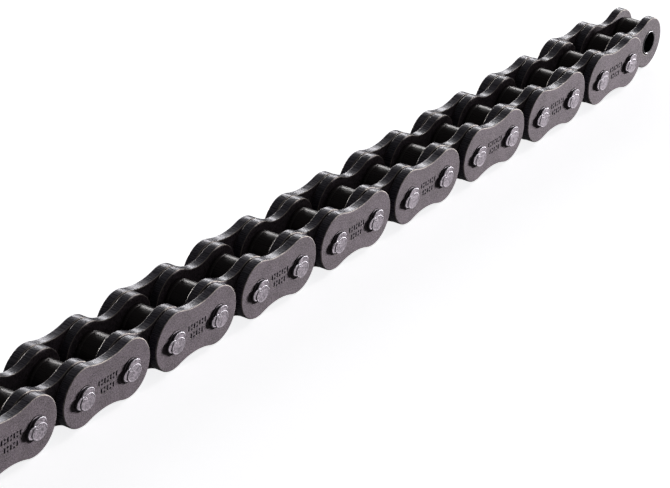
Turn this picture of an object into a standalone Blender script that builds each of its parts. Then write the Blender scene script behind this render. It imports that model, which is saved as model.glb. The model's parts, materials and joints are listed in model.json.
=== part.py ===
# Single-strand roller chain, laid straight: inner links (two plates, two bushes, two rollers)
# and outer links (two plates, two riveted pins) in turn. Metres, +X along the chain,
# +Y along the pins, +Z up. The chain rests on the lower edges of its inner plates at z = 0.
import math

import bmesh
import bpy

# Driving dimensions, metres.
LINK_COUNT = 19               # odd, so that both ends are inner links with an open bush
PITCH = 0.015875              # pin axis to pin axis
INNER_WIDTH = 0.0065          # clear space between the two plates of an inner link
INNER_PLATE_THICKNESS = 0.0023
OUTER_PLATE_THICKNESS = 0.0023
INNER_END_GAP = 0.001875      # between the ends of neighbouring inner plates, chain straight
OUTER_END_GAP = 0.002075      # the same for outer plates, so that they clear the ground
INNER_WAIST_DEPTH = 0.0020    # how far each edge of a plate dips between its lobes
OUTER_WAIST_DEPTH = 0.00125
PIN_DIAMETER = 0.0051
PIN_PROUD = 0.0008            # riveted end standing out of the outer plate
BUSH_PROUD = 0.0001           # bush end standing out of the inner plate
PIN_CHAMFER = 0.0002
BUSH_WALL = 0.00055
ROLLER_DIAMETER = 0.01016
ROLLER_CHAMFER = 0.0003

# Clearances, metres.
RUNNING_GAP = 0.00025         # radial: pin in bush, and bush in roller
PRESS_GAP = 0.0002            # radial: pin in outer plate, and bush in inner plate
PLATE_GAP = 0.0003            # between an inner plate and the outer plate beside it
ROLLER_SIDE_GAP = 0.00025     # between a roller's end and the inner plate

# Links whose plates, bushes and pins are separate solids, counted from each end.
LOOSE_AT_START = 3
LOOSE_AT_END = 4

# Facets.
LOBE_STEP = math.pi / 11      # an odd share of a half turn puts a flat facet underneath
WAIST_STEPS = 5
PIN_SEGMENTS = 16
ROLLER_SEGMENTS = 20
SHARP_ANGLE = math.radians(40)

# Sizes that follow from the ones above.
inner_height = PITCH - INNER_END_GAP
outer_height = PITCH - OUTER_END_GAP
pin_radius = PIN_DIAMETER / 2
bush_bore_radius = pin_radius + RUNNING_GAP
bush_radius = bush_bore_radius + BUSH_WALL
roller_bore_radius = bush_radius + RUNNING_GAP
roller_radius = ROLLER_DIAMETER / 2
roller_length = INNER_WIDTH - 2 * ROLLER_SIDE_GAP
inner_face_y = INNER_WIDTH / 2 + INNER_PLATE_THICKNESS
inner_plate_y = inner_face_y - INNER_PLATE_THICKNESS / 2
bush_length = 2 * (inner_face_y + BUSH_PROUD)
outer_face_y = inner_face_y + PLATE_GAP + OUTER_PLATE_THICKNESS
outer_plate_y = outer_face_y - OUTER_PLATE_THICKNESS / 2
pin_length = 2 * (outer_face_y + PIN_PROUD)
axis_height = inner_height / 2
root_link = (LINK_COUNT + 1) // 2


def axis_x(index):
    """Place of pin axis 0 to LINK_COUNT along the chain, whose middle is x = 0."""
    return (index - LINK_COUNT / 2) * PITCH


def clear_scene():
    for old in list(bpy.data.objects):
        bpy.data.objects.remove(old, do_unlink=True)


def steel(name, colour, roughness, metallic):
    material = bpy.data.materials.new(name)
    material.use_nodes = True
    shader = material.node_tree.nodes["Principled BSDF"]
    shader.inputs["Base Color"].default_value = (*colour, 1)
    shader.inputs["Roughness"].default_value = roughness
    shader.inputs["Metallic"].default_value = metallic
    return material


def mesh_from(bm, name):
    bmesh.ops.remove_doubles(bm, verts=bm.verts, dist=1e-6)
    bmesh.ops.recalc_face_normals(bm, faces=bm.faces)
    mesh = bpy.data.meshes.new(name)
    bm.to_mesh(mesh)
    bm.free()
    return mesh


def plate_outline(height, waist_depth):
    """Figure-eight outline in X and Z: two round lobes on the pin axes, joined by hollow arcs."""
    lobe = height / 2
    waist = lobe - waist_depth
    hollow = (PITCH ** 2 / 4 + waist ** 2 - lobe ** 2) / (2 * (lobe - waist))
    meet = math.atan2(waist + hollow, -PITCH / 2)      # where lobe and hollow share a tangent
    facet_corner = lobe / math.cos(LOBE_STEP / 2)      # the flats touch the true circle
    steps = int(meet / LOBE_STEP)
    right = [(-meet, lobe)]
    right += [(k * LOBE_STEP, facet_corner) for k in range(-steps, steps + 1)]
    right += [(meet, lobe)]
    half = [(PITCH / 2 + r * math.cos(a), r * math.sin(a)) for a, r in right]
    start = math.atan2(-waist - hollow, PITCH / 2)
    sweep = -math.pi - 2 * start
    for k in range(1, WAIST_STEPS):
        a = start + sweep * k / WAIST_STEPS
        half.append((hollow * math.cos(a), waist + hollow + hollow * math.sin(a)))
    return half + [(-x, -z) for x, z in half]


def plate_solid(name, height, waist_depth, thickness, y=0.0):
    bm = bmesh.new()
    rim = [bm.verts.new((x, y - thickness / 2, z)) for x, z in plate_outline(height, waist_depth)]
    face = bm.faces.new(rim)
    grown = bmesh.ops.extrude_face_region(bm, geom=[face])["geom"]
    moved = [v for v in grown if isinstance(v, bmesh.types.BMVert)]
    bmesh.ops.translate(bm, verts=moved, vec=(0, thickness, 0))
    return mesh_from(bm, name)


def turned(name, profile, segments, closed):
    """Solid of revolution about Y. profile lists (radius, y): closed makes a ring, open a rod."""
    bm = bmesh.new()
    verts = [bm.verts.new((radius, y, 0)) for radius, y in profile]
    ends = verts + verts[:1] if closed else verts
    edges = [bm.edges.new(pair) for pair in zip(ends, ends[1:])]
    bmesh.ops.spin(bm, geom=verts + edges, cent=(0, 0, 0), axis=(0, 1, 0),
                   angle=2 * math.pi, steps=segments, use_merge=True)
    if not closed:
        bmesh.ops.holes_fill(bm, edges=bm.edges, sides=segments)
    mesh = mesh_from(bm, name)
    mesh.shade_smooth()
    mesh.set_sharp_from_angle(angle=SHARP_ANGLE)
    return mesh


def outer_side(radius, half, chamfer):
    """Profile of a round piece's outer side, with its two edges chamfered or left square."""
    if not chamfer:
        return [(radius, -half), (radius, half)]
    return [(radius - chamfer, -half), (radius, chamfer - half),
            (radius, half - chamfer), (radius - chamfer, half)]


def tube(name, radius, bore, length, segments, chamfer=0.0):
    half = length / 2
    profile = [(bore, -half)] + outer_side(radius, half, chamfer) + [(bore, half)]
    return turned(name, profile, segments, closed=True)


def rod(name, radius, length, segments, chamfer=0.0):
    return turned(name, outer_side(radius, length / 2, chamfer), segments, closed=False)


def scratch_object(mesh, x=0.0):
    thing = bpy.data.objects.new(mesh.name, mesh)
    thing.location.x = x
    bpy.context.scene.collection.objects.link(thing)
    return thing


def combined(name, base, others, operation):
    """New mesh: base with each (mesh, x) of others joined to it or cut from it."""
    target = scratch_object(base)
    helpers = [scratch_object(mesh, x) for mesh, x in others]
    for helper in helpers:
        step = target.modifiers.new(operation.lower(), "BOOLEAN")
        step.operation = operation
        step.solver = "EXACT"
        step.object = helper
    bpy.context.view_layer.update()
    graph = bpy.context.evaluated_depsgraph_get()
    mesh = bpy.data.meshes.new_from_object(target.evaluated_get(graph))
    mesh.name = name
    for thing in helpers + [target]:
        bpy.data.objects.remove(thing, do_unlink=True)
    return mesh


def drilled(name, solid, radius, length):
    """The solid with a hole on each of its two pin axes."""
    drill = rod("drill", radius, length, PIN_SEGMENTS)
    return combined(name, solid, [(drill, -PITCH / 2), (drill, PITCH / 2)], "DIFFERENCE")


def frame_mesh(name, height, waist_depth, thickness, plate_y, bar):
    """Two plates and a bar through them on each pin axis, as one body."""
    near = plate_solid("near", height, waist_depth, thickness, -plate_y)
    far = plate_solid("far", height, waist_depth, thickness, plate_y)
    pieces = [(far, 0.0), (bar, -PITCH / 2), (bar, PITCH / 2)]
    return combined(name, near, pieces, "UNION")


def make_meshes():
    through = 2 * pin_length
    inner_blank = plate_solid("inner_blank", inner_height, INNER_WAIST_DEPTH, INNER_PLATE_THICKNESS)
    outer_blank = plate_solid("outer_blank", outer_height, OUTER_WAIST_DEPTH, OUTER_PLATE_THICKNESS)
    pin = rod("pin", pin_radius, pin_length, PIN_SEGMENTS, PIN_CHAMFER)
    bush_blank = rod("bush_blank", bush_radius, bush_length, PIN_SEGMENTS)
    inner_solid = frame_mesh("inner_solid", inner_height, INNER_WAIST_DEPTH,
                             INNER_PLATE_THICKNESS, inner_plate_y, bush_blank)
    return {
        "inner_plate": drilled("inner_plate", inner_blank, bush_radius + PRESS_GAP, through),
        "outer_plate": drilled("outer_plate", outer_blank, pin_radius + PRESS_GAP, through),
        "bush": tube("bush", bush_radius, bush_bore_radius, bush_length, PIN_SEGMENTS),
        "pin": pin,
        "roller": tube("roller", roller_radius, roller_bore_radius, roller_length,
                       ROLLER_SEGMENTS, ROLLER_CHAMFER),
        "inner_frame": drilled("inner_frame", inner_solid, bush_bore_radius, through),
        "outer_frame": frame_mesh("outer_frame", outer_height, OUTER_WAIST_DEPTH,
                                  OUTER_PLATE_THICKNESS, outer_plate_y, pin),
    }


def make_materials():
    return {
        "inner_plate": steel("inner_plate_steel", (0.035, 0.033, 0.036), 0.36, 0.9),
        "outer_plate": steel("outer_plate_steel", (0.115, 0.105, 0.120), 0.48, 0.9),
        "bush": steel("bush_steel", (0.090, 0.085, 0.095), 0.30, 0.9),
        "pin": steel("pin_steel", (0.330, 0.320, 0.360), 0.42, 0.9),
        "roller": steel("roller_steel", (0.020, 0.019, 0.021), 0.24, 0.9),
    }


def add_empty(name, parent, x):
    """Empty on a pin axis, carried by the link before it on the way from the root."""
    empty = bpy.data.objects.new(name, None)
    empty.empty_display_size = PITCH / 4
    bpy.context.scene.collection.objects.link(empty)
    empty.parent = parent
    parent_x = parent["axis_x"] if parent else 0.0
    parent_height = 0.0 if parent else axis_height
    empty.location = (x - parent_x, 0, parent_height)
    empty["axis_x"] = x
    return empty


def add_piece(name, mesh, material, parent, x, y=0.0):
    piece = bpy.data.objects.new(name, mesh.copy())
    piece.data.materials.clear()
    piece.data.materials.append(material)
    bpy.context.scene.collection.objects.link(piece)
    piece.parent = parent
    piece.location = (x - parent["axis_x"], y, 0)
    return piece


def is_loose(link):
    return link <= LOOSE_AT_START or link > LINK_COUNT - LOOSE_AT_END


def add_inner_link(link, carrier, meshes, materials):
    start, end = axis_x(link - 1), axis_x(link)
    middle = (start + end) / 2
    name = f"link_{link:02d}"
    if is_loose(link):
        for side, y in (("near", -inner_plate_y), ("far", inner_plate_y)):
            add_piece(f"{name}_inner_plate_{side}", meshes["inner_plate"],
                      materials["inner_plate"], carrier, middle, y)
        for place, x in (("start", start), ("end", end)):
            add_piece(f"{name}_bush_{place}", meshes["bush"], materials["bush"], carrier, x)
    else:
        add_piece(f"{name}_inner_frame", meshes["inner_frame"], materials["inner_plate"],
                  carrier, middle)
    for number, x in ((link, start), (link + 1, end)):
        spindle = add_empty(f"roller_{number:02d}_axis", carrier, x)
        add_piece(f"roller_{number:02d}", meshes["roller"], materials["roller"], spindle, x)


def add_outer_link(link, carrier, meshes, materials):
    start, end = axis_x(link - 1), axis_x(link)
    middle = (start + end) / 2
    name = f"link_{link:02d}"
    if is_loose(link):
        for side, y in (("near", -outer_plate_y), ("far", outer_plate_y)):
            add_piece(f"{name}_outer_plate_{side}", meshes["outer_plate"],
                      materials["outer_plate"], carrier, middle, y)
        for place, x in (("start", start), ("end", end)):
            add_piece(f"{name}_pin_{place}", meshes["pin"], materials["pin"], carrier, x)
    else:
        add_piece(f"{name}_outer_frame", meshes["outer_frame"], materials["outer_plate"],
                  carrier, middle)


def add_link(link, carrier, meshes, materials):
    if link % 2:
        add_inner_link(link, carrier, meshes, materials)
    else:
        add_outer_link(link, carrier, meshes, materials)


def build_chain():
    meshes = make_meshes()
    materials = make_materials()
    root = add_empty(f"link_{root_link:02d}_axis", None, axis_x(root_link - 1))
    add_link(root_link, root, meshes, materials)
    carrier = root
    for link in range(root_link + 1, LINK_COUNT + 1):      # towards the far end, +X
        carrier = add_empty(f"link_{link:02d}_axis", carrier, axis_x(link - 1))
        add_link(link, carrier, meshes, materials)
    carrier = root
    for link in range(root_link - 1, 0, -1):               # towards the near end, -X
        carrier = add_empty(f"link_{link:02d}_axis", carrier, axis_x(link))
        add_link(link, carrier, meshes, materials)


clear_scene()
build_chain()
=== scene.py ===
import json
import math

import bpy
from mathutils import Matrix, Vector

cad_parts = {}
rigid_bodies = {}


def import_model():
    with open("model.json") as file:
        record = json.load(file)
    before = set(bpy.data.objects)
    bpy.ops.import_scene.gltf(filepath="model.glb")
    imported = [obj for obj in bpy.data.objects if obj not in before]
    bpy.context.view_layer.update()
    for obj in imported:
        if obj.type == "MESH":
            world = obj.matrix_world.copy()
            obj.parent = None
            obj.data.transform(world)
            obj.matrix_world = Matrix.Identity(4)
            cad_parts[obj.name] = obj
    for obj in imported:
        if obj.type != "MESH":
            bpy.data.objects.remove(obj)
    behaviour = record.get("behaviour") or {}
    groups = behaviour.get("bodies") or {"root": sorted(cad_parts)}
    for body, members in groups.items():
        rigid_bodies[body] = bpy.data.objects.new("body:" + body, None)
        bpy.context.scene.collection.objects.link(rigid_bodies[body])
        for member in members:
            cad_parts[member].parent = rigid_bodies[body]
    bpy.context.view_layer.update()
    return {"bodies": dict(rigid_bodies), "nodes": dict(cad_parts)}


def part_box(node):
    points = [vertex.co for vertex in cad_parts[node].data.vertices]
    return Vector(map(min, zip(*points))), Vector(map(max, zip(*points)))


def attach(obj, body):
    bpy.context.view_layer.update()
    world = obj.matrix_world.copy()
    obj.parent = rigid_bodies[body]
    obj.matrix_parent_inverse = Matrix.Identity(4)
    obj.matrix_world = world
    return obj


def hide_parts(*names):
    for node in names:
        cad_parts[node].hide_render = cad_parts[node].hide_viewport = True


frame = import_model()

# Roller chain: looks only, in metres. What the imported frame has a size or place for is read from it.


def sizeOf(node):
    low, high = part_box(node)
    return high - low


def middleOf(node):
    low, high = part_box(node)
    return (low + high) / 2


linkCount = len([body for body in frame["bodies"] if body.startswith("link_")])
axisX = [middleOf(f"roller_{number:02d}").x for number in range(1, linkCount + 2)]
axisZ = middleOf("roller_01").z
pitch = axisX[1] - axisX[0]
slim = 0.00004                 # gap left between pressed pieces
print("frame read:", linkCount, "links, pitch", round(pitch, 6))


closeness = {                  # how near counts as the same, in metres
    "weld": 0.000001,
    "outlineWeld": 0.000005,
    "endPlane": 0.000002,
    "place": 0.00001,
    "bore": 0.00003,
    "hole": 0.00005,
}

endFacing = 0.9                # a face that looks this much along Y is an end face

roundSides = {"turned": 64, "drill": 72, "lobe": 56, "dot": 12}     # sides of a circle


# helpers for working by hand in edit mode

def dropSelection():
    if bpy.context.object and bpy.context.object.mode != "OBJECT":
        bpy.ops.object.mode_set(mode="OBJECT")
    bpy.ops.object.select_all(action="DESELECT")


def pick(thing):
    dropSelection()
    thing.select_set(True)
    bpy.context.view_layer.objects.active = thing


def openMesh(mode="VERT"):
    bpy.ops.object.mode_set(mode="EDIT")
    bpy.ops.mesh.select_mode(type=mode)


def closeMesh():
    bpy.ops.object.mode_set(mode="OBJECT")


def selectFaces(thing, wanted):
    # leaves edit mode open in face mode with only the wanted faces selected
    openMesh("FACE")
    bpy.ops.mesh.select_all(action="DESELECT")
    closeMesh()
    for face in thing.data.polygons:
        face.select = wanted(face)
    openMesh("FACE")


def selectEdges(thing, wanted):
    # the same for edges, tested by their two end points
    openMesh("EDGE")
    bpy.ops.mesh.select_all(action="DESELECT")
    closeMesh()
    points = thing.data.vertices
    for edge in thing.data.edges:
        a, b = (points[index].co for index in edge.vertices)
        edge.select = wanted(a, b)
    openMesh("EDGE")


def cylinderAlongY(name, radius, fromY, toY, x=0.0, z=0.0, sides=roundSides["turned"]):
    dropSelection()
    bpy.ops.mesh.primitive_cylinder_add(vertices=sides, radius=radius, depth=toY - fromY,
                                        location=(x, (fromY + toY) / 2, z),
                                        rotation=(math.pi / 2, 0, 0))
    thing = bpy.context.object
    thing.name = name
    bpy.ops.object.transform_apply(location=True, rotation=True, scale=True)
    return thing


def boxBetween(name, low, high):
    dropSelection()
    size = Vector(high) - Vector(low)
    bpy.ops.mesh.primitive_cube_add(size=1, location=(Vector(low) + Vector(high)) / 2, scale=size)
    thing = bpy.context.object
    thing.name = name
    bpy.ops.object.transform_apply(location=True, rotation=True, scale=True)
    return thing


def joined(things):
    dropSelection()
    for thing in things:
        thing.select_set(True)
    bpy.context.view_layer.objects.active = things[0]
    bpy.ops.object.join()
    return things[0]


def carve(thing, tool, operation="DIFFERENCE"):
    pick(thing)
    step = thing.modifiers.new("carve", "BOOLEAN")
    step.operation = operation
    step.solver = "EXACT"
    step.use_self = True
    step.object = tool
    bpy.ops.object.modifier_apply(modifier=step.name)
    bpy.data.objects.remove(tool, do_unlink=True)
    return thing


def roundEdges(thing, width, segments):
    # rounds every edge that turns by more than the angle below
    sharpest = 35
    pick(thing)
    step = thing.modifiers.new("round", "BEVEL")
    step.limit_method = "ANGLE"
    step.angle_limit = math.radians(sharpest)
    step.width = width
    step.segments = segments
    bpy.ops.object.modifier_apply(modifier=step.name)


def smoothOff(thing, angle=50):
    # closed seams, outward faces, and shading that keeps flat faces flat
    flatFaceWeight = 80
    pick(thing)
    openMesh()
    bpy.ops.mesh.select_all(action="SELECT")
    bpy.ops.mesh.remove_doubles(threshold=closeness["weld"])
    bpy.ops.mesh.normals_make_consistent(inside=False)
    closeMesh()
    bpy.ops.object.shade_smooth_by_angle(angle=math.radians(angle))
    step = thing.modifiers.new("even", "WEIGHTED_NORMAL")
    step.keep_sharp = True
    step.weight = flatFaceWeight
    bpy.ops.object.modifier_apply(modifier=step.name)


# link plates

innerPlate = {
    "height": sizeOf("link_01_inner_plate_near").z,
    "thickness": sizeOf("link_01_inner_plate_near").y,
    "middleY": -middleOf("link_01_inner_plate_near").y,
    "waistDip": 0.0020,        # as the frame's own plates
    "holeRadius": sizeOf("link_01_bush_start").z / 2 + slim,
    "rimRound": 0.00027,
    "holeRound": 0.00014,
}

outerPlate = {
    "height": sizeOf("link_02_outer_plate_near").z,
    "thickness": sizeOf("link_02_outer_plate_near").y,
    "middleY": -middleOf("link_02_outer_plate_near").y,
    "waistDip": 0.00125,
    "holeRadius": sizeOf("link_02_pin_start").z / 2 + slim,
    "rimRound": 0.00028,
    "holeRound": 0.00014,
}

plateRounding = {
    "rimSteps": 4,
    "holeSteps": 2,
    "clearOfHole": 0.0006,     # edges nearer to a hole than this are no part of the rim
}

outlineSteps = {"lobe": 22, "waist": 8}

punchMarks = {                 # two short rows of plain strokes and dots, no letters
    "rows": ((0.00102, 3, 0), (-0.00108, 2, 1)),     # height, columns each side of the middle, start
    "spacing": 0.00100,
    "strokeWidth": 0.00070,
    "strokeHeight": 0.00174,
    "dotRadius": 0.00040,
    "depth": 0.00040,
    "draft": 0.5,              # floor of a mark against its mouth
    "ruleReach": 0.56,         # grid line above and below a row, in stroke heights
}


def drawOutline(name, height, waistDip):
    # a quarter of the figure eight, spun from one point, then mirrored twice
    lobe = height / 2
    waist = lobe - waistDip
    hollow = (pitch ** 2 / 4 + waist ** 2 - lobe ** 2) / (2 * (lobe - waist))
    meet = math.atan2(waist + hollow, -pitch / 2)
    dropSelection()
    bpy.ops.mesh.primitive_plane_add(size=lobe, location=(0, 0, 0))
    plate = bpy.context.object
    plate.name = name
    openMesh()
    bpy.ops.mesh.merge(type="CENTER")
    bpy.ops.transform.translate(value=(pitch / 2 + lobe, 0, 0))
    bpy.ops.mesh.spin(steps=outlineSteps["lobe"], angle=meet, center=(pitch / 2, 0, 0),
                      axis=(0, 1, 0))
    bpy.ops.mesh.spin(steps=outlineSteps["waist"], angle=math.pi / 2 - meet,
                      center=(0, 0, waist + hollow), axis=(0, 1, 0))
    closeMesh()
    step = plate.modifiers.new("mirror", "MIRROR")
    step.use_axis = (True, False, True)
    step.merge_threshold = closeness["place"]
    bpy.ops.object.modifier_apply(modifier=step.name)
    openMesh()
    bpy.ops.mesh.select_all(action="SELECT")
    bpy.ops.mesh.remove_doubles(threshold=closeness["outlineWeld"])
    bpy.ops.mesh.edge_face_add()
    closeMesh()
    return plate


def cutPlate(name, plan):
    # blank, two holes, then the rounding that tumbling leaves on every edge
    half = plan["thickness"] / 2
    plate = drawOutline(name, plan["height"], plan["waistDip"])
    openMesh("FACE")
    bpy.ops.mesh.select_all(action="SELECT")
    bpy.ops.transform.translate(value=(0, -half, 0))
    bpy.ops.mesh.extrude_region_move(TRANSFORM_OT_translate={"value": (0, 2 * half, 0)})
    bpy.ops.mesh.select_all(action="SELECT")
    bpy.ops.mesh.normals_make_consistent(inside=False)
    closeMesh()
    for x in (-pitch / 2, pitch / 2):
        drill = cylinderAlongY("drill", plan["holeRadius"], -2 * half, 2 * half, x,
                               sides=roundSides["drill"])
        carve(plate, drill)

    def fromAxis(point):
        return math.hypot(abs(point.x) - pitch / 2, point.z)

    def onFace(a, b):
        return abs(abs(a.y) - half) < closeness["place"] and abs(a.y - b.y) < closeness["place"]

    def holeEdge(a, b):
        return onFace(a, b) and max(fromAxis(a), fromAxis(b)) < plan["holeRadius"] + closeness["hole"]

    pick(plate)
    selectEdges(plate, holeEdge)
    bpy.ops.mesh.bevel(offset=plan["holeRound"], segments=plateRounding["holeSteps"])
    closeMesh()
    onRim = plan["height"] / 2 - plan["waistDip"] - closeness["hole"]
    pastHole = plan["holeRadius"] + plateRounding["clearOfHole"]

    def rimEdge(a, b):
        if not onFace(a, b) or min(fromAxis(a), fromAxis(b)) < pastHole:
            return False
        return all(abs(p.x) > pitch / 2 or abs(p.z) > onRim for p in (a, b))

    selectEdges(plate, rimEdge)
    bpy.ops.mesh.bevel(offset=plan["rimRound"], segments=plateRounding["rimSteps"])
    closeMesh()
    return plate


def taper(tool):
    # narrows the end that goes into the plate
    spot = sum((point.co for point in tool.data.vertices), Vector()) / len(tool.data.vertices)
    pick(tool)
    selectFaces(tool, lambda face: face.normal.y > endFacing)
    draft = punchMarks["draft"]
    bpy.ops.transform.resize(value=(draft, 1, draft), center_override=spot)
    closeMesh()


def punchTool(faceY):
    # strokes and dots that stand in the face and narrow towards their floor
    tools = []
    low, high = faceY - punchMarks["depth"], faceY + punchMarks["depth"]
    wide, tall = punchMarks["strokeWidth"], punchMarks["strokeHeight"]
    radius = punchMarks["dotRadius"]
    for rowZ, reach, first in punchMarks["rows"]:
        for column in range(-reach, reach + 1):
            x = column * punchMarks["spacing"]
            if (column + first) % 2:
                tools.append(boxBetween("stroke", (x - wide / 2, low, rowZ - tall / 2),
                                        (x + wide / 2, high, rowZ + tall / 2)))
                continue
            for z in (rowZ - tall / 2 + radius, rowZ + tall / 2 - radius):
                tools.append(cylinderAlongY("dot", radius, low, high, x, z, roundSides["dot"]))
    for tool in tools:
        taper(tool)
    return joined(tools)


def ruleFace(plate):
    # a light grid over the plate keeps each cut of a mark within small faces
    pick(plate)
    openMesh()
    widest = max(reach for _, reach, _ in punchMarks["rows"])
    for column in range(-widest - 1, widest + 1):
        bpy.ops.mesh.select_all(action="SELECT")
        x = (column + 0.5) * punchMarks["spacing"]
        bpy.ops.mesh.bisect(plane_co=(x, 0, 0), plane_no=(1, 0, 0))
    reach = punchMarks["strokeHeight"] * punchMarks["ruleReach"]
    tops = [rowZ + reach for rowZ, _, _ in punchMarks["rows"]]
    middles = [rowZ for rowZ, _, _ in punchMarks["rows"]]
    for z in tops + middles + [middles[-1] - reach]:
        bpy.ops.mesh.select_all(action="SELECT")
        bpy.ops.mesh.bisect(plane_co=(0, 0, z), plane_no=(0, 0, 1))
    closeMesh()


def makeInnerPlate():
    plate = cutPlate("innerPlateMaster", innerPlate)
    smoothOff(plate)
    return plate


def makeOuterPlate():
    plate = cutPlate("outerPlateMaster", outerPlate)
    ruleFace(plate)
    carve(plate, punchTool(-outerPlate["thickness"] / 2))
    smoothOff(plate)
    return plate


# pins, bushes and rollers

pinShape = {
    "radius": sizeOf("link_02_pin_start").z / 2,
    "end": sizeOf("link_02_pin_start").y / 2,
    "face": outerPlate["middleY"] + outerPlate["thickness"] / 2,
    "lobes": (                 # x, z, half height, width to height and drop of each disc
        (0.00040, -0.00092, 0.00196, 1.25, 0.0),
        (0.00042, 0.00092, 0.00136, 1.55, 0.00004),
        (-0.00152, -0.00052, 0.00146, 1.28, 0.00006),
    ),
    "lip": 0.00012,            # flat edge that stays up round each disc
    # the slope is steep enough for the painted edge highlight to fall on it
    "slope": 0.00015,
    "dish": 0.00008,           # depth of the middle below that edge
    "rimRound": 0.00014,
    "rimSteps": 3,
    "topFacing": 0.99,         # its flat top, without the rounded rim
    "smoothAngle": 40,
    "shankEnd": 0.00015,       # plain end of the shank above the plate, under the lobes
}

bushShape = {
    "radius": sizeOf("link_01_bush_start").z / 2,
    "end": sizeOf("link_01_bush_start").y / 2,
    "wall": 0.00055,
    "edgeRound": 0.00016,
    "edgeSteps": 3,
}

rollerShape = {
    "radius": sizeOf("roller_01").z / 2,
    "end": sizeOf("roller_01").y / 2,
    "bore": bushShape["radius"] + 0.00025,
    "edgeRound": 0.00034,
    "edgeSteps": 4,
    "grooveY": 0.00190,        # shallow turned line near the far end
    "grooveWidth": 0.00022,
    "grooveDepth": 0.00010,
    "skin": 0.0001,            # points within this of the radius are on the outside
}


def roundEnd(thing, y, width, segments):
    # rounds the edges that lie in the plane at y
    pick(thing)
    selectEdges(thing, lambda a, b: max(abs(a.y - y), abs(b.y - y)) < closeness["endPlane"])
    bpy.ops.mesh.bevel(offset=width, segments=segments)
    closeMesh()


def makeLobe(x, z, halfHeight, stretch, drop):
    # disc with a raised edge and a shallow dish inside it
    top = -pinShape["end"] + drop
    lobe = cylinderAlongY("lobe", halfHeight, top, -pinShape["face"], x, z, roundSides["lobe"])
    openMesh()
    bpy.ops.mesh.select_all(action="SELECT")
    bpy.ops.transform.resize(value=(stretch, 1, 1), center_override=(x, 0, z))
    closeMesh()
    roundEnd(lobe, top, pinShape["rimRound"], pinShape["rimSteps"])
    selectFaces(lobe, lambda face: face.normal.y < -pinShape["topFacing"])
    bpy.ops.mesh.inset(thickness=pinShape["lip"])
    bpy.ops.mesh.inset(thickness=pinShape["slope"])
    bpy.ops.transform.translate(value=(0, pinShape["dish"], 0))
    closeMesh()
    return lobe


def makePin():
    # half a shank with its head, then the same half turned about and merged at the middle
    shankEnd = -pinShape["face"] - pinShape["shankEnd"]
    pin = cylinderAlongY("pinMaster", pinShape["radius"], shankEnd, 0)
    head, upper, side = (makeLobe(*lobe) for lobe in pinShape["lobes"])
    carve(head, upper, "UNION")
    carve(head, side, "UNION")
    carve(pin, head, "UNION")
    pick(pin)
    selectFaces(pin, lambda face: abs(face.center.y) < closeness["place"])
    bpy.ops.mesh.delete(type="FACE")
    closeMesh()
    otherHalf = pin.copy()
    otherHalf.data = pin.data.copy()
    otherHalf.data.transform(Matrix.Rotation(math.pi, 4, "Z"))
    bpy.context.scene.collection.objects.link(otherHalf)
    smoothOff(joined([pin, otherHalf]), pinShape["smoothAngle"])
    return pin


def boreThrough(tube, bore):
    # inset both ends down to the bore and bridge them
    outer = max(v.co.z for v in tube.data.vertices)
    selectFaces(tube, lambda face: abs(face.normal.y) > endFacing)
    flatter = math.cos(math.pi / roundSides["turned"])      # a side's middle lies nearer the axis
    bpy.ops.mesh.inset(thickness=(outer - bore) * flatter, use_individual=True)
    bpy.ops.mesh.delete(type="FACE")
    closeMesh()
    innermost = bore + closeness["bore"]
    selectEdges(tube, lambda a, b: max(math.hypot(a.x, a.z), math.hypot(b.x, b.z)) < innermost)
    bpy.ops.mesh.bridge_edge_loops()
    bpy.ops.mesh.select_all(action="SELECT")
    bpy.ops.mesh.normals_make_consistent(inside=False)
    closeMesh()


def makeBush():
    end = bushShape["end"]
    bush = cylinderAlongY("bushMaster", bushShape["radius"], -end, end)
    boreThrough(bush, bushShape["radius"] - bushShape["wall"])
    roundEdges(bush, bushShape["edgeRound"], bushShape["edgeSteps"])
    smoothOff(bush)
    return bush


def makeRoller():
    end = rollerShape["end"]
    roller = cylinderAlongY("rollerMaster", rollerShape["radius"], -end, end)
    boreThrough(roller, rollerShape["bore"])
    roundEdges(roller, rollerShape["edgeRound"], rollerShape["edgeSteps"])
    middle = rollerShape["grooveY"]
    half = rollerShape["grooveWidth"] / 2
    for y in (middle - half, middle, middle + half):
        pick(roller)
        openMesh()
        bpy.ops.mesh.select_all(action="SELECT")
        bpy.ops.mesh.bisect(plane_co=(0, y, 0), plane_no=(0, 1, 0))
        closeMesh()
    deepest = rollerShape["radius"] - rollerShape["skin"]

    def grooveEdge(a, b):
        inLine = max(abs(a.y - middle), abs(b.y - middle)) < closeness["place"]
        return inLine and min(math.hypot(a.x, a.z), math.hypot(b.x, b.z)) > deepest

    selectEdges(roller, grooveEdge)
    shrink = 1 - rollerShape["grooveDepth"] / rollerShape["radius"]
    bpy.ops.transform.resize(value=(shrink, 1, shrink), center_override=(0, middle, 0))
    closeMesh()
    smoothOff(roller)
    return roller


# finishes

def newGroup(name, inputs, outputs):
    # inputs and outputs are (name, kind, value); kind is Float, Vector or Color
    group = bpy.data.node_groups.new(name, "ShaderNodeTree")
    for label, kind, value in inputs:
        socket = group.interface.new_socket(label, in_out="INPUT", socket_type="NodeSocket" + kind)
        if value is not None:
            socket.default_value = value
    for label, kind in outputs:
        group.interface.new_socket(label, in_out="OUTPUT", socket_type="NodeSocket" + kind)
    return group, group.nodes.new("NodeGroupInput"), group.nodes.new("NodeGroupOutput")


def addNode(tree, kind, x=0, y=0, **settings):
    node = tree.nodes.new("ShaderNode" + kind)
    node.location = (x, y)
    for key, value in settings.items():
        setattr(node, key, value)
    return node


def feed(tree, value, socket):
    if isinstance(value, (int, float, tuple)):
        socket.default_value = value
    else:
        tree.links.new(value, socket)


def calc(tree, operation, first, second=None, third=None):
    node = addNode(tree, "Math", operation=operation)
    for place, value in enumerate((first, second, third)):
        if value is not None:
            feed(tree, value, node.inputs[place])
    return node.outputs[0]


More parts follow.
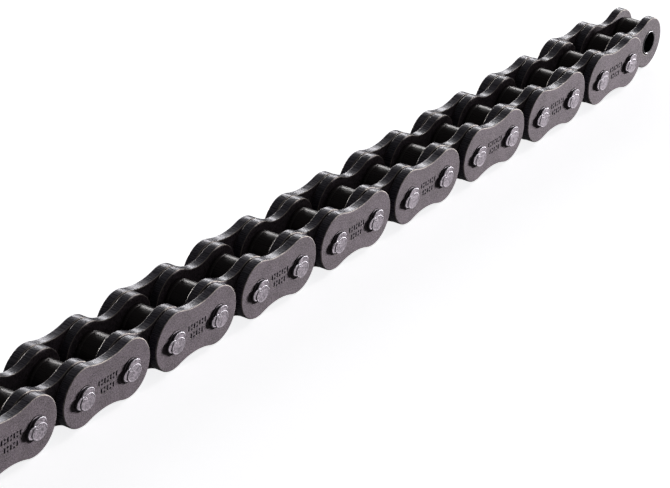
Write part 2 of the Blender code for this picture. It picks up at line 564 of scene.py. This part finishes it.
def spread(tree, value, fromLow, fromHigh, toLow, toHigh):
    node = addNode(tree, "MapRange", interpolation_type="SMOOTHSTEP")
    for label, amount in (("Value", value), ("From Min", fromLow), ("From Max", fromHigh),
                          ("To Min", toLow), ("To Max", toHigh)):
        feed(tree, amount, node.inputs[label])
    return node.outputs["Result"]


def blendColours(tree, factor, first, second):
    node = addNode(tree, "Mix", data_type="RGBA")
    feed(tree, factor, node.inputs[0])
    feed(tree, first, node.inputs[6])
    feed(tree, second, node.inputs[7])
    return node.outputs[2]


grainLook = {
    "detail": 4.0, "roughness": 0.72, "spread": (0.36, 0.64),
    "patchDetail": 4.0, "patchRoughness": 0.55, "patchSpread": (0.35, 0.65),
}

edgeLook = {
    "middle": 0.64,            # how far a half rounded edge still looks along Y
    "band": (0.12, 0.42),      # full edge wear and painted highlight, and none of it away from that
    "chipDetail": 3.0, "chipSpread": (0.30, 0.60), "chipLeast": 0.35,
    "side": (0.35, 0.75),
}

streakLook = {"detail": 2.0, "spread": (0.32, 0.68)}

steelMix = {
    "grain": 0.85, "patches": 0.15,      # shares of each in the colour of a face
    "drawn": 0.2,                        # how much the streaks lighten a side
    "rubbedRough": -0.12,                # rubbed edges are smoother
    "sideRelief": 0.4,                   # streaks stand less proud than grain
}


def makeGrainGroup():
    # blackened steel: fine peened grain over slow cloudy patches
    group, entry, leave = newGroup("blackenedGrain", [
        ("Position", "Vector", None), ("Grain Size", "Float", 0.0002), ("Patch Size", "Float", 0.004)],
        [("Grain", "Float"), ("Patches", "Float")])
    fine = addNode(group, "TexNoise")
    fine.inputs["Detail"].default_value = grainLook["detail"]
    fine.inputs["Roughness"].default_value = grainLook["roughness"]
    group.links.new(entry.outputs["Position"], fine.inputs["Vector"])
    group.links.new(calc(group, "DIVIDE", 1.0, entry.outputs["Grain Size"]), fine.inputs["Scale"])
    slow = addNode(group, "TexNoise")
    slow.inputs["Detail"].default_value = grainLook["patchDetail"]
    slow.inputs["Roughness"].default_value = grainLook["patchRoughness"]
    group.links.new(entry.outputs["Position"], slow.inputs["Vector"])
    group.links.new(calc(group, "DIVIDE", 1.0, entry.outputs["Patch Size"]), slow.inputs["Scale"])
    grain = spread(group, fine.outputs["Fac"], *grainLook["spread"], 0.0, 1.0)
    patches = spread(group, slow.outputs["Fac"], *grainLook["patchSpread"], 0.0, 1.0)
    group.links.new(grain, leave.inputs["Grain"])
    group.links.new(patches, leave.inputs["Patches"])
    return group


def makeEdgeGroup():
    # rounded edges sit between a face that looks along Y and a side that looks across it; the Edge mask
    # marks them for edge wear and for a painted highlight line, and it also takes in the sloped rings
    # in the pin heads
    group, entry, leave = newGroup("edgeWearAndHighlightMask", [
        ("Normal", "Vector", None), ("Position", "Vector", None), ("Chip Size", "Float", 0.0006)],
        [("Edge", "Float"), ("Side", "Float")])
    split = addNode(group, "SeparateXYZ")
    group.links.new(entry.outputs["Normal"], split.inputs[0])
    across = calc(group, "ABSOLUTE", split.outputs["Y"])
    off = calc(group, "ABSOLUTE", calc(group, "SUBTRACT", across, edgeLook["middle"]))
    chips = addNode(group, "TexNoise")
    chips.inputs["Detail"].default_value = edgeLook["chipDetail"]
    group.links.new(entry.outputs["Position"], chips.inputs["Vector"])
    group.links.new(calc(group, "DIVIDE", 1.0, entry.outputs["Chip Size"]), chips.inputs["Scale"])
    band = spread(group, off, *edgeLook["band"], 1.0, 0.0)
    broken = spread(group, chips.outputs["Fac"], *edgeLook["chipSpread"], edgeLook["chipLeast"], 1.0)
    group.links.new(calc(group, "MULTIPLY", band, broken), leave.inputs["Edge"])
    group.links.new(spread(group, across, *edgeLook["side"], 1.0, 0.0), leave.inputs["Side"])
    return group


def makeStreakGroup():
    # drawn lines that run along Y, as a blanking die leaves them on the side of a plate
    group, entry, leave = newGroup("drawnStreaks", [
        ("Position", "Vector", None), ("Line Size", "Float", 0.00016), ("Stretch", "Float", 0.06)],
        [("Streaks", "Float")])
    squeeze = addNode(group, "CombineXYZ")
    squeeze.inputs["X"].default_value = 1.0
    squeeze.inputs["Z"].default_value = 1.0
    group.links.new(entry.outputs["Stretch"], squeeze.inputs["Y"])
    scaled = addNode(group, "VectorMath", operation="MULTIPLY")
    group.links.new(entry.outputs["Position"], scaled.inputs[0])
    group.links.new(squeeze.outputs[0], scaled.inputs[1])
    lines = addNode(group, "TexNoise")
    lines.inputs["Detail"].default_value = streakLook["detail"]
    group.links.new(scaled.outputs[0], lines.inputs["Vector"])
    group.links.new(calc(group, "DIVIDE", 1.0, entry.outputs["Line Size"]), lines.inputs["Scale"])
    streaks = spread(group, lines.outputs["Fac"], *streakLook["spread"], 0.0, 1.0)
    group.links.new(streaks, leave.inputs["Streaks"])
    return group


groups = {"grain": makeGrainGroup(), "edge": makeEdgeGroup(), "streak": makeStreakGroup()}

# in each finish, edge is the colour of edge wear and of a painted highlight line along the rounded
# edges
outerPlateSteel = {
    "dark": (0.018, 0.012, 0.017, 1), "light": (0.275, 0.218, 0.270, 1),
    "side": (0.085, 0.083, 0.102, 1), "edge": (0.72, 0.65, 0.56, 1),
    "edgeWearAndHighlightAmount": 0.60, "metal": 0.40,
    "faceRough": (0.64, 0.78), "sideRough": (0.24, 0.33),
    "grainSize": 0.00034, "patchSize": 0.0035, "lineSize": 0.00018, "bump": 0.20, "bumpDepth": 0.00004,
}

innerPlateSteel = {
    "dark": (0.015, 0.010, 0.014, 1), "light": (0.230, 0.184, 0.226, 1),
    "side": (0.080, 0.078, 0.096, 1), "edge": (0.72, 0.65, 0.56, 1),
    "edgeWearAndHighlightAmount": 0.60, "metal": 0.40,
    "faceRough": (0.62, 0.76), "sideRough": (0.24, 0.33),
    "grainSize": 0.00034, "patchSize": 0.0035, "lineSize": 0.00018, "bump": 0.20, "bumpDepth": 0.00004,
}

# on the pins the edge colour is near white at full amount: a painted highlight rim round each head,
# with some wear
pinSteel = {
    "dark": (0.12, 0.098, 0.120, 1), "light": (0.50, 0.42, 0.49, 1),
    "side": (0.03, 0.03, 0.034, 1), "edge": (0.95, 0.93, 1.0, 1),
    "edgeWearAndHighlightAmount": 1.0, "metal": 0.35,
    "faceRough": (0.52, 0.66), "sideRough": (0.34, 0.46),
    "grainSize": 0.00050, "patchSize": 0.0014, "lineSize": 0.00012, "bump": 0.30, "bumpDepth": 0.00005,
}

bushSteel = {
    "dark": (0.05, 0.047, 0.054, 1), "light": (0.10, 0.095, 0.108, 1),
    "side": (0.028, 0.027, 0.031, 1), "edge": (0.42, 0.40, 0.42, 1),
    "edgeWearAndHighlightAmount": 0.5, "metal": 0.8,
    "faceRough": (0.28, 0.42), "sideRough": (0.24, 0.36),
    "grainSize": 0.00020, "patchSize": 0.0030, "lineSize": 0.00010, "bump": 0.12, "bumpDepth": 0.00003,
}

rollerSteel = {
    "dark": (0.036, 0.031, 0.031, 1), "light": (0.085, 0.074, 0.074, 1),
    "side": (0.050, 0.042, 0.042, 1), "edge": (0.16, 0.15, 0.15, 1),
    "edgeWearAndHighlightAmount": 0.35, "metal": 0.6,
    "faceRough": (0.40, 0.52), "sideRough": (0.27, 0.38),
    "grainSize": 0.00030, "patchSize": 0.0030, "lineSize": 0.00014, "bump": 0.10, "bumpDepth": 0.00003,
}


def makeSteel(name, finish):
    material = bpy.data.materials.new(name)
    material.use_nodes = True
    tree = material.node_tree
    shader = tree.nodes["Principled BSDF"]
    coords = addNode(tree, "TexCoord", -1400, 0)
    place, normal = coords.outputs["Object"], coords.outputs["Normal"]

    def useGroup(which, x, y):
        node = addNode(tree, "Group", x, y, node_tree=groups[which])
        tree.links.new(place, node.inputs["Position"])
        return node

    grain = useGroup("grain", -1100, 300)
    grain.inputs["Grain Size"].default_value = finish["grainSize"]
    grain.inputs["Patch Size"].default_value = finish["patchSize"]
    edge = useGroup("edge", -1100, 0)
    tree.links.new(normal, edge.inputs["Normal"])
    streak = useGroup("streak", -1100, -300)
    streak.inputs["Line Size"].default_value = finish["lineSize"]
    side = edge.outputs["Side"]
    facing = calc(tree, "SUBTRACT", 1.0, side)

    patches = calc(tree, "MULTIPLY", grain.outputs["Patches"], steelMix["patches"])
    mottle = calc(tree, "MULTIPLY_ADD", grain.outputs["Grain"], steelMix["grain"], patches)
    face = blendColours(tree, mottle, finish["dark"], finish["light"])
    lightened = calc(tree, "MULTIPLY", streak.outputs["Streaks"], steelMix["drawn"])
    drawn = blendColours(tree, lightened, finish["side"], finish["light"])
    body = blendColours(tree, side, face, drawn)
    # edge wear and a painted highlight: the light edge colour is laid along the rounded edges
    edgeWearAndHighlight = calc(tree, "MULTIPLY", edge.outputs["Edge"], finish["edgeWearAndHighlightAmount"])
    tree.links.new(blendColours(tree, edgeWearAndHighlight, body, finish["edge"]), shader.inputs["Base Color"])

    faceRough = spread(tree, grain.outputs["Grain"], 0.0, 1.0, *finish["faceRough"])
    sideRough = spread(tree, streak.outputs["Streaks"], 0.0, 1.0, *finish["sideRough"])
    rough = calc(tree, "ADD", calc(tree, "MULTIPLY", faceRough, facing),
                 calc(tree, "MULTIPLY", sideRough, side))
    worn = calc(tree, "MULTIPLY_ADD", edgeWearAndHighlight, steelMix["rubbedRough"], rough)
    tree.links.new(worn, shader.inputs["Roughness"])

    sideRelief = calc(tree, "MULTIPLY", side, steelMix["sideRelief"])
    relief = calc(tree, "ADD", calc(tree, "MULTIPLY", grain.outputs["Grain"], facing),
                  calc(tree, "MULTIPLY", streak.outputs["Streaks"], sideRelief))
    bump = addNode(tree, "Bump", -300, -400)
    bump.inputs["Strength"].default_value = finish["bump"]
    bump.inputs["Distance"].default_value = finish["bumpDepth"]
    tree.links.new(relief, bump.inputs["Height"])
    tree.links.new(bump.outputs["Normal"], shader.inputs["Normal"])
    shader.inputs["Metallic"].default_value = finish["metal"]
    return material


finishes = {
    "inner_plate": makeSteel("innerPlateBlack", innerPlateSteel),
    "outer_plate": makeSteel("outerPlateBlack", outerPlateSteel),
    "pin": makeSteel("pinBright", pinSteel),
    "bush": makeSteel("bushDark", bushSteel),
    "roller": makeSteel("rollerBlack", rollerSteel),
}
print("finishes made:", ", ".join(finishes))


# putting the chain together

masters = {
    "inner_plate": makeInnerPlate(),
    "outer_plate": makeOuterPlate(),
    "pin": makePin(),
    "bush": makeBush(),
    "roller": makeRoller(),
}
print("masters modelled:", {name: len(thing.data.polygons) for name, thing in masters.items()})


headLean = {"most": 5, "perLink": 2.4, "perPin": 1.7}      # degrees, and steps along a sine
rollerTurn = 47                # degrees from one roller to the next


def addCopy(master, name, body, node, place, turn=None):
    mesh = masters[master].data.copy()
    mesh.name = name
    if turn:
        mesh.transform(turn)
    mesh.transform(Matrix.Translation(place))
    mesh.materials.clear()
    mesh.materials.append(finishes[master])
    piece = bpy.data.objects.new(name, mesh)
    bpy.context.scene.collection.objects.link(piece)
    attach(piece, body)
    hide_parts(node)


def nodeFor(body, loose, frameNode):
    # the end links keep their pieces apart in the frame; the middle ones are one solid each
    return loose if loose in frame["nodes"] else frameNode


def dressInnerLink(number, body):
    start, end = axisX[number - 1], axisX[number]
    whole = f"{body}_inner_frame"
    for side, y in (("near", -innerPlate["middleY"]), ("far", innerPlate["middleY"])):
        turn = Matrix.Rotation(math.pi, 4, "Z") if side == "far" else None
        addCopy("inner_plate", f"innerPlate_{side}_{number:02d}", body,
                nodeFor(body, f"{body}_inner_plate_{side}", whole), ((start + end) / 2, y, axisZ), turn)
    for which, x in (("start", start), ("end", end)):
        addCopy("bush", f"bush_{which}_{number:02d}", body,
                nodeFor(body, f"{body}_bush_{which}", whole), (x, 0, axisZ))


def dressOuterLink(number, body):
    start, end = axisX[number - 1], axisX[number]
    whole = f"{body}_outer_frame"
    for side, y in (("near", -outerPlate["middleY"]), ("far", outerPlate["middleY"])):
        turn = Matrix.Rotation(math.pi, 4, "Z") if side == "far" else None
        addCopy("outer_plate", f"outerPlate_{side}_{number:02d}", body,
                nodeFor(body, f"{body}_outer_plate_{side}", whole), ((start + end) / 2, y, axisZ), turn)
    for step, (which, x) in enumerate((("start", start), ("end", end))):
        # every head leans a little differently
        swing = math.sin(headLean["perLink"] * number + headLean["perPin"] * step)
        lean = Matrix.Rotation(math.radians(headLean["most"] * swing), 4, "Y")
        addCopy("pin", f"pin_{which}_{number:02d}", body,
                nodeFor(body, f"{body}_pin_{which}", whole), (x, 0, axisZ), lean)


for number in range(1, linkCount + 1):
    body = f"link_{number:02d}"
    if number % 2:
        dressInnerLink(number, body)
    else:
        dressOuterLink(number, body)
for number, x in enumerate(axisX, 1):
    roll = Matrix.Rotation(math.radians(rollerTurn * number), 4, "Y")
    addCopy("roller", f"roller_turned_{number:02d}", f"roller_{number:02d}", f"roller_{number:02d}",
            (x, 0, axisZ), roll)
for master in masters.values():
    bpy.data.objects.remove(master, do_unlink=True)
print("links dressed:", linkCount)


# floor, light and camera

floorPlan = {
    "radius": 6.0, "sides": 96, "below": 0.00002, "colour": (0.86, 0.86, 0.87, 1),
    "roughness": 0.75, "roughSpread": 0.05, "cloudScale": 6.0, "shine": 0.2,
    "glow": 0.97,              # keeps the ground white, and hides most of the shadow on it
}

worldLight = {"colour": (1.0, 1.0, 1.0, 1), "strength": 0.045, "backdrop": (0.95, 0.95, 0.96, 1)}

lamps = {                      # azimuth runs from +X towards +Y; size is width and height
    "rightSoftbox": {"azimuth": -24, "height": 0.7, "distance": 4.5, "size": (1.0, 0.11), "watts": 295},
    "backPanel": {"azimuth": 34, "height": 17, "distance": 1.8, "size": (1.1, 0.30), "watts": 7.5},
    "edgeStrip": {"azimuth": -3, "height": 41, "distance": 2.4, "size": (0.30, 0.20), "watts": 6},
    "rearPanel": {"azimuth": 80, "height": 12, "distance": 3.0, "size": (1.2, 0.50), "watts": 55},
}

cameraPlan = {
    "aim": (0.0045, 0.0, -0.0009), "distance": 0.696, "heading": 58.96, "height": 26.07, "roll": 4.54,
    "lens": 159.5, "sensor": 36.0, "nearest": 0.01,
}


def makeFloor():
    dropSelection()
    bpy.ops.mesh.primitive_circle_add(vertices=floorPlan["sides"], radius=floorPlan["radius"],
                                      fill_type="NGON", location=(0, 0, -floorPlan["below"]))
    floor = bpy.context.object
    floor.name = "paleFloor"
    material = bpy.data.materials.new("paleFloor")
    material.use_nodes = True
    tree = material.node_tree
    shader = tree.nodes["Principled BSDF"]
    coords = addNode(tree, "TexCoord")
    cloud = addNode(tree, "TexNoise")
    cloud.inputs["Scale"].default_value = floorPlan["cloudScale"]
    tree.links.new(coords.outputs["Object"], cloud.inputs["Vector"])
    smoothest = floorPlan["roughness"] - floorPlan["roughSpread"]
    roughest = floorPlan["roughness"] + floorPlan["roughSpread"]
    shade = spread(tree, cloud.outputs["Fac"], 0.3, 0.7, smoothest, roughest)
    tree.links.new(shade, shader.inputs["Roughness"])
    shader.inputs["Base Color"].default_value = floorPlan["colour"]
    shader.inputs["Specular IOR Level"].default_value = floorPlan["shine"]
    shader.inputs["Emission Color"].default_value = floorPlan["colour"]
    shader.inputs["Emission Strength"].default_value = floorPlan["glow"]
    floor.data.materials.append(material)
    floor.visible_glossy = False           # the table doesn't light the chain from below
    floor.visible_diffuse = False


def makeWorld():
    world = bpy.data.worlds.new("studio")
    world.use_nodes = True
    bpy.context.scene.world = world
    tree = world.node_tree
    soft = tree.nodes["Background"]
    soft.inputs["Color"].default_value = worldLight["colour"]
    soft.inputs["Strength"].default_value = worldLight["strength"]
    seen = tree.nodes.new("ShaderNodeBackground")
    seen.inputs["Color"].default_value = worldLight["backdrop"]
    path = tree.nodes.new("ShaderNodeLightPath")
    mix = tree.nodes.new("ShaderNodeMixShader")
    tree.links.new(path.outputs["Is Camera Ray"], mix.inputs[0])
    tree.links.new(soft.outputs[0], mix.inputs[1])
    tree.links.new(seen.outputs[0], mix.inputs[2])
    tree.links.new(mix.outputs[0], tree.nodes["World Output"].inputs["Surface"])


def makeLamps():
    for name, plan in lamps.items():
        turn, rise = math.radians(plan["azimuth"]), math.radians(plan["height"])
        level = math.cos(rise)
        away = Vector((math.cos(turn) * level, math.sin(turn) * level, math.sin(rise)))
        light = bpy.data.lights.new(name, "AREA")
        light.shape = "RECTANGLE"
        light.size, light.size_y = plan["size"]
        light.energy = plan["watts"]
        lamp = bpy.data.objects.new(name, light)
        lamp.location = away * plan["distance"]
        lamp.rotation_euler = away.to_track_quat("Z", "Y").to_euler()
        lamp.visible_camera = False
        bpy.context.scene.collection.objects.link(lamp)


def makeCamera():
    plan = cameraPlan
    data = bpy.data.cameras.new("camera")
    data.lens = plan["lens"]
    data.sensor_width = plan["sensor"]
    data.clip_start = plan["nearest"]
    camera = bpy.data.objects.new("camera", data)
    turned = (Matrix.Rotation(math.radians(-plan["heading"]), 4, "Z")
              @ Matrix.Rotation(math.radians(90 - plan["height"]), 4, "X")
              @ Matrix.Rotation(math.radians(plan["roll"]), 4, "Z"))
    back = turned.to_3x3() @ Vector((0, 0, 1))
    camera.matrix_world = Matrix.Translation(Vector(plan["aim"]) + back * plan["distance"]) @ turned
    bpy.context.scene.collection.objects.link(camera)
    bpy.context.scene.camera = camera


makeFloor()
makeWorld()
makeLamps()
makeCamera()
bpy.context.scene.view_settings.view_transform = "Standard"

bpy.context.view_layer.update()
